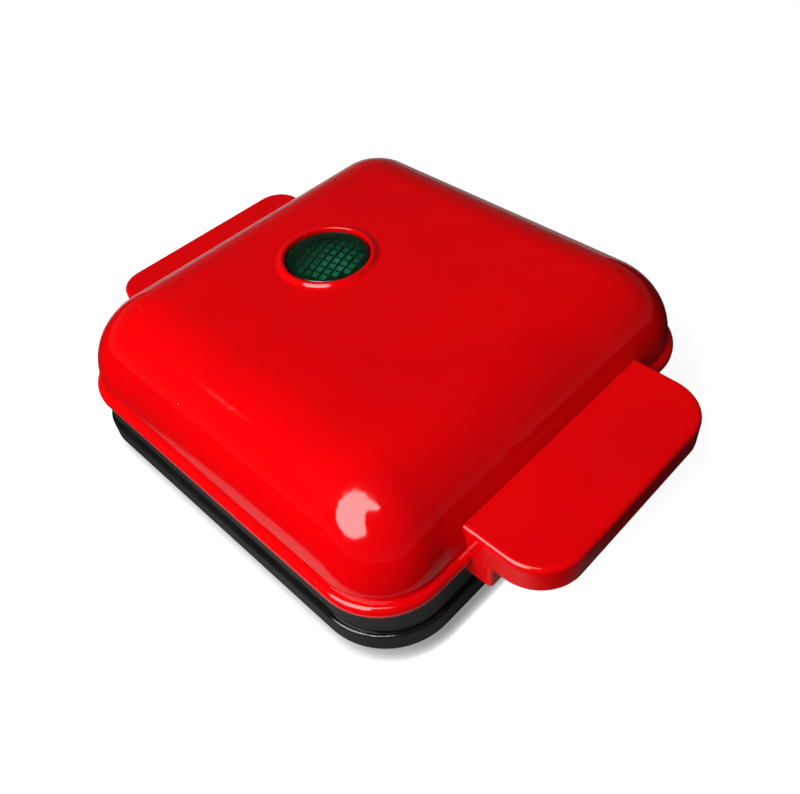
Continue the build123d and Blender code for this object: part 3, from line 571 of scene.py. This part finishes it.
# %% Metals
STEEL, STAINED_STEEL = (0.42, 0.38, 0.33), (0.20, 0.17, 0.19)
ALUMINIUM, GREY_ALUMINIUM = (0.80, 0.80, 0.79), (0.62, 0.61, 0.60)
ZINC, GREY_ZINC = (0.66, 0.67, 0.69), (0.50, 0.50, 0.50)
ROLLED = (per_mm(0.05), per_mm(4.0), per_mm(4.0))


def stained_steel(name):
    finish = Finish(name, STEEL, 0.35, metallic=1.0)
    stain = finish.between(finish.noise(per_mm(0.07), detail=3.0), *MIDDLE_CLOUD)
    finish.wire(finish.mix(stain, STEEL, STAINED_STEEL), "Base Color")
    scale = finish.noise(per_mm(0.8), detail=3.0)
    finish.wire(finish.between(scale, *CLOUD, to_low=0.28, to_high=0.5), "Roughness")
    finish.bump(finish.noise(per_mm(3.0)), depth=0.006 * MM)
    return finish.material


def rolled_sheet(name):
    finish = Finish(name, ALUMINIUM, 0.3, metallic=1.0)
    lines = finish.noise(1.0, place=finish.stretched(ROLLED))
    finish.wire(finish.between(lines, *CLOUD, to_low=0.22, to_high=0.40), "Roughness")
    finish.wire(finish.mix(lines, ALUMINIUM, GREY_ALUMINIUM), "Base Color")
    finish.bump(lines, depth=0.006 * MM)
    return finish.material


def plated_steel(name):
    finish = Finish(name, ZINC, 0.22, metallic=1.0)
    tarnish = finish.between(finish.noise(per_mm(0.5), detail=3.0), *MIDDLE_CLOUD)
    finish.wire(finish.mix(tarnish, ZINC, GREY_ZINC), "Base Color")
    finish.wire(finish.between(tarnish, 0.0, 1.0, to_low=0.18, to_high=0.32), "Roughness")
    return finish.material


metals = [
    stained_steel("heat_stained_steel"),
    rolled_sheet("rolled_aluminium"),
    plated_steel("fuse_can"),
    plated_steel("zinc_plated_steel"),
]
element_metal, reflector_metal, fuse_metal, screw_metal = metals
print("metals:", [metal.name for metal in metals])

# %% [markdown]
# ## Ceramic, rubber and clear plastic
#
# The thermostat and the terminal block are unglazed ceramic, the feet and the cord bushing are
# rubber with a grey bloom, and the lens and the lamp are clear plastic. Clear plastic could be
# faked with a dark glossy green. Real transmission is better here: the studs inside the lens
# then shift as the view moves, as they do in the real one.

# %% Ceramic, rubber and clear plastic
CERAMIC, DARK_CERAMIC = (0.74, 0.71, 0.65), (0.62, 0.58, 0.51)
RUBBER, GREY_RUBBER = (0.018, 0.018, 0.018), (0.035, 0.034, 0.033)
LENS_GREEN = (0.05, 0.92, 0.36)
LAMP_GREEN = (0.25, 0.60, 0.35)
HAZE = 0.04


def fired_ceramic(name):
    finish = Finish(name, CERAMIC, 0.45)
    mottle = finish.between(finish.noise(per_mm(1.5), detail=4.0), *UPPER_CLOUD)
    finish.wire(finish.mix(mottle, CERAMIC, DARK_CERAMIC), "Base Color")
    finish.bump(finish.noise(per_mm(4.0)), depth=0.01 * MM)
    return finish.material


def soft_rubber(name):
    finish = Finish(name, RUBBER, 0.75)
    bloom = finish.between(finish.noise(per_mm(0.6), detail=4.0), *UPPER_CLOUD)
    finish.wire(finish.mix(bloom, RUBBER, GREY_RUBBER), "Base Color")
    finish.bump(finish.noise(per_mm(3.0), detail=3.0), depth=0.02 * MM)
    return finish.material


def clear_plastic(name, tint, roughness):
    finish = Finish(name, tint, roughness)
    finish.set("Transmission Weight", 1.0)
    finish.set("IOR", 1.49)
    cloud = finish.noise(per_mm(0.3), detail=3.0)
    finish.wire(finish.between(cloud, *CLOUD, roughness, roughness + HAZE), "Roughness")
    return finish.material


finish_of_slot = {
    "red_shell": red_plastic,
    "black_shell": black_plastic,
    "black_frame": frame_plastic,
    "green_lens": clear_plastic("green_lens_plastic", LENS_GREEN, roughness=0.03),
    "lamp_glass": clear_plastic("lamp_plastic", LAMP_GREEN, roughness=0.05),
    "nonstick_plate": plate_coat,
    "element_steel": element_metal,
    "reflector_sheet": reflector_metal,
    "thermostat_body": fired_ceramic("thermostat_ceramic"),
    "fuse_body": fuse_metal,
    "terminal_ceramic": fired_ceramic("terminal_ceramic"),
    "black_rubber": soft_rubber("black_rubber"),
    "bright_steel": screw_metal,
}
print("finishes:", len(finish_of_slot))

# %% [markdown]
# ## Dress the CAD pieces
#
# Each CAD piece came in with a plain material that is named after its slot in the record. Its
# shape is right, so the piece stays, and only the material in its slot is exchanged.

# %% Dress the CAD pieces
for name, node in sorted(nodes.items()):
    for slot in node.material_slots:
        slot_name = slot.material.name.split(".")[0]
        slot.material = finish_of_slot[slot_name]
print("dressed", len(nodes), "pieces")

# %% [markdown]
# ## Helpers for modelling
#
# Round pieces are easiest to model as a profile turned about an axis, as on a lathe. One helper
# spins a profile into rings of faces. Another turns the finished mesh into an object, smooth
# where its faces meet gently and crisp where they meet at a sharp angle.

# %% Helpers for modelling
SHARP_ANGLE = radians(32)
SPIN_STEPS = 96


def spin(mesh, profile, centre, steps=SPIN_STEPS):
    """Rings of points from a profile of radius and height in mm; radius 0 makes one point."""
    rings = []
    for radius, height in profile:
        if radius == 0:
            rings.append([mesh.verts.new((centre[0] * MM, centre[1] * MM, height * MM))])
            continue
        ring = []
        for step in range(steps):
            angle = 2 * pi * step / steps
            x = centre[0] + radius * cos(angle)
            y = centre[1] + radius * sin(angle)
            ring.append(mesh.verts.new((x * MM, y * MM, height * MM)))
        rings.append(ring)
    for upper, lower in zip(rings, rings[1:]):
        for step in range(steps):
            after = (step + 1) % steps
            if len(upper) == 1:
                mesh.faces.new((upper[0], lower[step], lower[after]))
            elif len(lower) == 1:
                mesh.faces.new((upper[step], lower[0], upper[after]))
            else:
                mesh.faces.new((upper[step], lower[step], lower[after], upper[after]))


def make_piece(name, mesh, materials, body):
    """Object from a mesh that is still being worked on, with smooth and sharp edges sorted out."""
    bmesh.ops.recalc_face_normals(mesh, faces=mesh.faces)
    data = bpy.data.meshes.new(name)
    mesh.to_mesh(data)
    mesh.free()
    if "custom_normal" in data.attributes:
        data.attributes.remove(data.attributes["custom_normal"])
    data.polygons.foreach_set("use_smooth", [True] * len(data.polygons))
    data.set_sharp_from_angle(angle=SHARP_ANGLE)
    for material in materials:
        data.materials.append(material)
    piece = bpy.data.objects.new(name, data)
    scene.collection.objects.link(piece)
    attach(piece, body)
    return piece


print("lathe and piece helpers ready")

# %% [markdown]
# ## Cut off two rib ends
#
# Inside each front corner of the base, a rib joins a screw boss to the wall, and its end reaches
# a little through the round wall. On the real base nothing shows there. Pushing the points of
# the rib back would leave thin creases in the glossy wall. Instead we model the space that has
# to be empty, just outside the wall and just above the foot band, and take it out of a copy of
# the base, as a milling cutter would.

# %% Cut off two rib ends
CORNER_CENTRE = (41.5, 40.5)
CORNER_RADIUS = 20.4
BAND_TOP = 9.5
BAND_ROUND = (20.6, 8.6, 0.9)
CUTTER_REACH = 21.4
CUTTER_TOP = 30.5
CUTTER_GAP = 0.005
CUTTER_TURNS = [radians(turn) for turn in range(15, 76, 2)]
ROUND_STEPS = 6


def cutter_profile():
    """Radius and height around the space just outside the wall and above the foot band."""
    middle, low, size = BAND_ROUND
    wall = CORNER_RADIUS + CUTTER_GAP
    points = [(wall, CUTTER_TOP), (wall, BAND_TOP + CUTTER_GAP)]
    last_turn = asin((CUTTER_REACH - middle) / (size + CUTTER_GAP))
    for step in range(ROUND_STEPS + 1):
        turn = last_turn * step / ROUND_STEPS
        radius = middle + (size + CUTTER_GAP) * sin(turn)
        points.append((radius, low + (size + CUTTER_GAP) * cos(turn)))
    points.append((CUTTER_REACH, CUTTER_TOP))
    return points


def corner_cutter(side):
    """That space swept around one front corner; side is -1 for the left and 1 for the right."""
    mesh = bmesh.new()
    rings = []
    for turn in CUTTER_TURNS:
        ring = []
        for radius, height in cutter_profile():
            x = side * (CORNER_CENTRE[0] + radius * sin(turn))
            y = -CORNER_CENTRE[1] - radius * cos(turn)
            ring.append(mesh.verts.new(Vector((x, y, height)) * MM))
        rings.append(ring)
    count = len(rings[0])
    for here, there in zip(rings, rings[1:]):
        for k in range(count):
            after = (k + 1) % count
            mesh.faces.new((here[k], here[after], there[after], there[k]))
    mesh.faces.new(rings[0])
    mesh.faces.new(rings[-1])
    bmesh.ops.recalc_face_normals(mesh, faces=mesh.faces)
    return mesh


def cut_away(mesh, cutter):
    """The first mesh without the space that the cutter takes up. Both are used up."""
    tools = []
    for name, shape in (("shape", mesh), ("cutter", cutter)):
        data = bpy.data.meshes.new(name)
        shape.to_mesh(data)
        shape.free()
        tools.append(bpy.data.objects.new(name, data))
        scene.collection.objects.link(tools[-1])
    cut = tools[0].modifiers.new("cut", "BOOLEAN")
    cut.object = tools[1]
    result = bmesh.new()
    result.from_object(tools[0], bpy.context.evaluated_depsgraph_get())
    for tool in tools:
        bpy.data.meshes.remove(tool.data)
    return result


print("cutter profile:", len(cutter_profile()), "points")

# %% [markdown]
# ## Even out the glossy shells
#
# The CAD program cuts its curved faces into long thin triangles. On a matt piece nobody would
# see them, but a polished shell mirrors the light, and along its small rounded edges the
# reflection breaks up. We could model the shells again. Here the shape is right and only its
# shading is not, so we take a copy of each shell, weld its seams, and let each face count by its
# area when Blender works out which way the surface points. The thin triangles then hardly count.

# %% Even out the glossy shells
WELD = 0.002 * MM
SHELLS = ["lid_cover", "base_shell", "front_handle", "rear_hinge_cover"]


def even_copy(name):
    source = nodes[name]
    mesh = bmesh.new()
    mesh.from_mesh(source.data)
    bmesh.ops.remove_doubles(mesh, verts=mesh.verts, dist=WELD)
    if name == "base_shell":
        for side in (-1, 1):
            mesh = cut_away(mesh, corner_cutter(side))
        loose = sum(1 for edge in mesh.edges if len(edge.link_faces) != 2)
        print("rib ends cut off, edges left open:", loose)
    slot_name = "black_shell" if name == "base_shell" else "red_shell"
    body = source.parent.name.split(":")[1]
    piece = make_piece("even_" + name, mesh, [finish_of_slot[slot_name]], body)
    weigh = piece.modifiers.new("weigh_by_area", "WEIGHTED_NORMAL")
    weigh.keep_sharp = True
    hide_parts(name)
    return piece


for name in SHELLS:
    shell = even_copy(name)
    print(shell.name, "has", len(shell.data.polygons), "faces")

# %% [markdown]
# ## The green lens
#
# The window over the lamp is a domed disc of clear green plastic. Its back is moulded into
# rows of small square studs, which scatter the light and show through the dome as a pale net. A
# picture of a net on the surface would not move as the view changes. So we model the studs: the
# dome, its rounded edge and its flange are turned, and the flat back inside the rim is cut up
# into square cells. The back gets a dark green finish of its own with painted light: pale at the
# foot of each stud, most of all near one spot.

# %% The green lens
LENS_CENTRE = (0.0, 17.9)
LENS_RADIUS = 12.0
LENS_EDGE_HEIGHT = 60.7
LENS_CROWN = 1.9
LENS_EDGE_ROUND = 1.0
LENS_FLANGE = (14.1, 58.1, 56.7)
WELL_RADIUS = 11.6
STUD_TOP = 60.3
STUD_PITCH = 2.45
STUD_DEPTH = 0.7
STUD_FLAT = 0.62
STUD_TURN = radians(16)
STUD_FIELD = 10.2
STUD_FOOT_BLEND = 0.3
DOME_STEPS = 12
EDGE_STEPS = 8
# Dark green of the studs, and the painted light on their feet near one spot:
STUD_DARK = (0.02, 0.035, 0.03)
STUD_PAINTED_LIGHT = (0.60, 0.46, 0.55)
PAINTED_LIGHT_SPOT = (-1.5, 12.0, 60.0)
PAINTED_LIGHT_SPOT_REACH = 13.0


def lens_profile():
    """Radius and height from the middle of the dome, out over the edge and down to the well."""
    crown_radius = (LENS_RADIUS**2 + LENS_CROWN**2) / (2 * LENS_CROWN)
    centre = LENS_EDGE_HEIGHT + LENS_CROWN - crown_radius
    round_r = LENS_RADIUS - LENS_EDGE_ROUND
    round_z = centre + sqrt((crown_radius - LENS_EDGE_ROUND) ** 2 - round_r**2)
    touch = atan2(round_r, round_z - centre)
    points = []
    for step in range(DOME_STEPS + 1):
        turn = touch * step / DOME_STEPS
        points.append((crown_radius * sin(turn), centre + crown_radius * cos(turn)))
    for step in range(1, EDGE_STEPS + 1):
        turn = touch + (pi / 2 - touch) * step / EDGE_STEPS
        radius = round_r + LENS_EDGE_ROUND * sin(turn)
        points.append((radius, round_z + LENS_EDGE_ROUND * cos(turn)))
    flange, flange_top, flange_low = LENS_FLANGE
    points += [(LENS_RADIUS, flange_top), (flange, flange_top), (flange, flange_low)]
    points += [(WELL_RADIUS, flange_low), (WELL_RADIUS, STUD_TOP)]
    return points


def add_studs(mesh):
    """Square cells under the dome, each with a stud that hangs down and four sloping sides."""
    reach = int(STUD_FIELD / STUD_PITCH) + 2
    corners = {}

    def place(i, j, height):
        x, y = i * STUD_PITCH, j * STUD_PITCH
        turned_x = LENS_CENTRE[0] + x * cos(STUD_TURN) - y * sin(STUD_TURN)
        turned_y = LENS_CENTRE[1] + x * sin(STUD_TURN) + y * cos(STUD_TURN)
        return Vector((turned_x, turned_y, height)) * MM

    def corner(i, j):
        """Corner that neighbouring cells share, made the first time that it is asked for."""
        if (i, j) not in corners:
            corners[i, j] = mesh.verts.new(place(i, j, STUD_TOP))
        return corners[i, j]

    count = 0
    inset = (1 - STUD_FLAT) / 2
    for i in range(-reach, reach):
        for j in range(-reach, reach):
            if sqrt((i + 0.5) ** 2 + (j + 0.5) ** 2) * STUD_PITCH > STUD_FIELD:
                continue
            steps = [(0, 0), (1, 0), (1, 1), (0, 1)]
            upper = [corner(i + a, j + b) for a, b in steps]
            foot = []
            for a, b in steps:
                across, along = i + inset + a * STUD_FLAT, j + inset + b * STUD_FLAT
                foot.append(mesh.verts.new(place(across, along, STUD_TOP - STUD_DEPTH)))
            mesh.faces.new(foot)
            for k in range(4):
                after = (k + 1) % 4
                mesh.faces.new((upper[k], upper[after], foot[after], foot[k]))
            count += 1
    return count


def lens_mesh():
    mesh = bmesh.new()
    spin(mesh, lens_profile(), LENS_CENTRE)
    turned = set(mesh.faces)
    count = add_studs(mesh)
    open_edges = [edge for edge in mesh.edges if len(edge.link_faces) == 1]
    bmesh.ops.triangle_fill(mesh, use_beauty=True, use_dissolve=False, edges=open_edges)
    for face in mesh.faces:
        face.material_index = 0 if face in turned else 1
    left_open = sum(1 for edge in mesh.edges if len(edge.link_faces) != 2)
    print("studs:", count, "open edges:", left_open)
    return mesh


def stud_painted_light():
    """Dark green with painted light: pale on the feet of the studs, fading away from one spot;
    dark in between.
    """
    finish = Finish("green_studs", STUD_DARK, 0.35)
    foot = (STUD_TOP - STUD_DEPTH) * MM
    blended = foot + STUD_FOOT_BLEND * MM
    # Painted light: the feet of the studs near one spot turn pale green, and the rest stays dark.
    low = finish.between(finish.axis(finish.place, "Z"), foot, blended, to_low=1.0, to_high=0.0)
    away = finish.distance_from(Vector(PAINTED_LIGHT_SPOT) * MM)
    near = finish.between(away, 0.0, PAINTED_LIGHT_SPOT_REACH * MM, to_low=1.0, to_high=0.0)
    palest = finish.maths("MULTIPLY", low, near)
    finish.wire(finish.mix(palest, STUD_DARK, STUD_PAINTED_LIGHT), "Base Color")
    return finish.material


lens_finishes = [finish_of_slot["green_lens"], stud_painted_light()]
lens = make_piece("green_lens", lens_mesh(), lens_finishes, "lid")
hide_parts("indicator_lens")
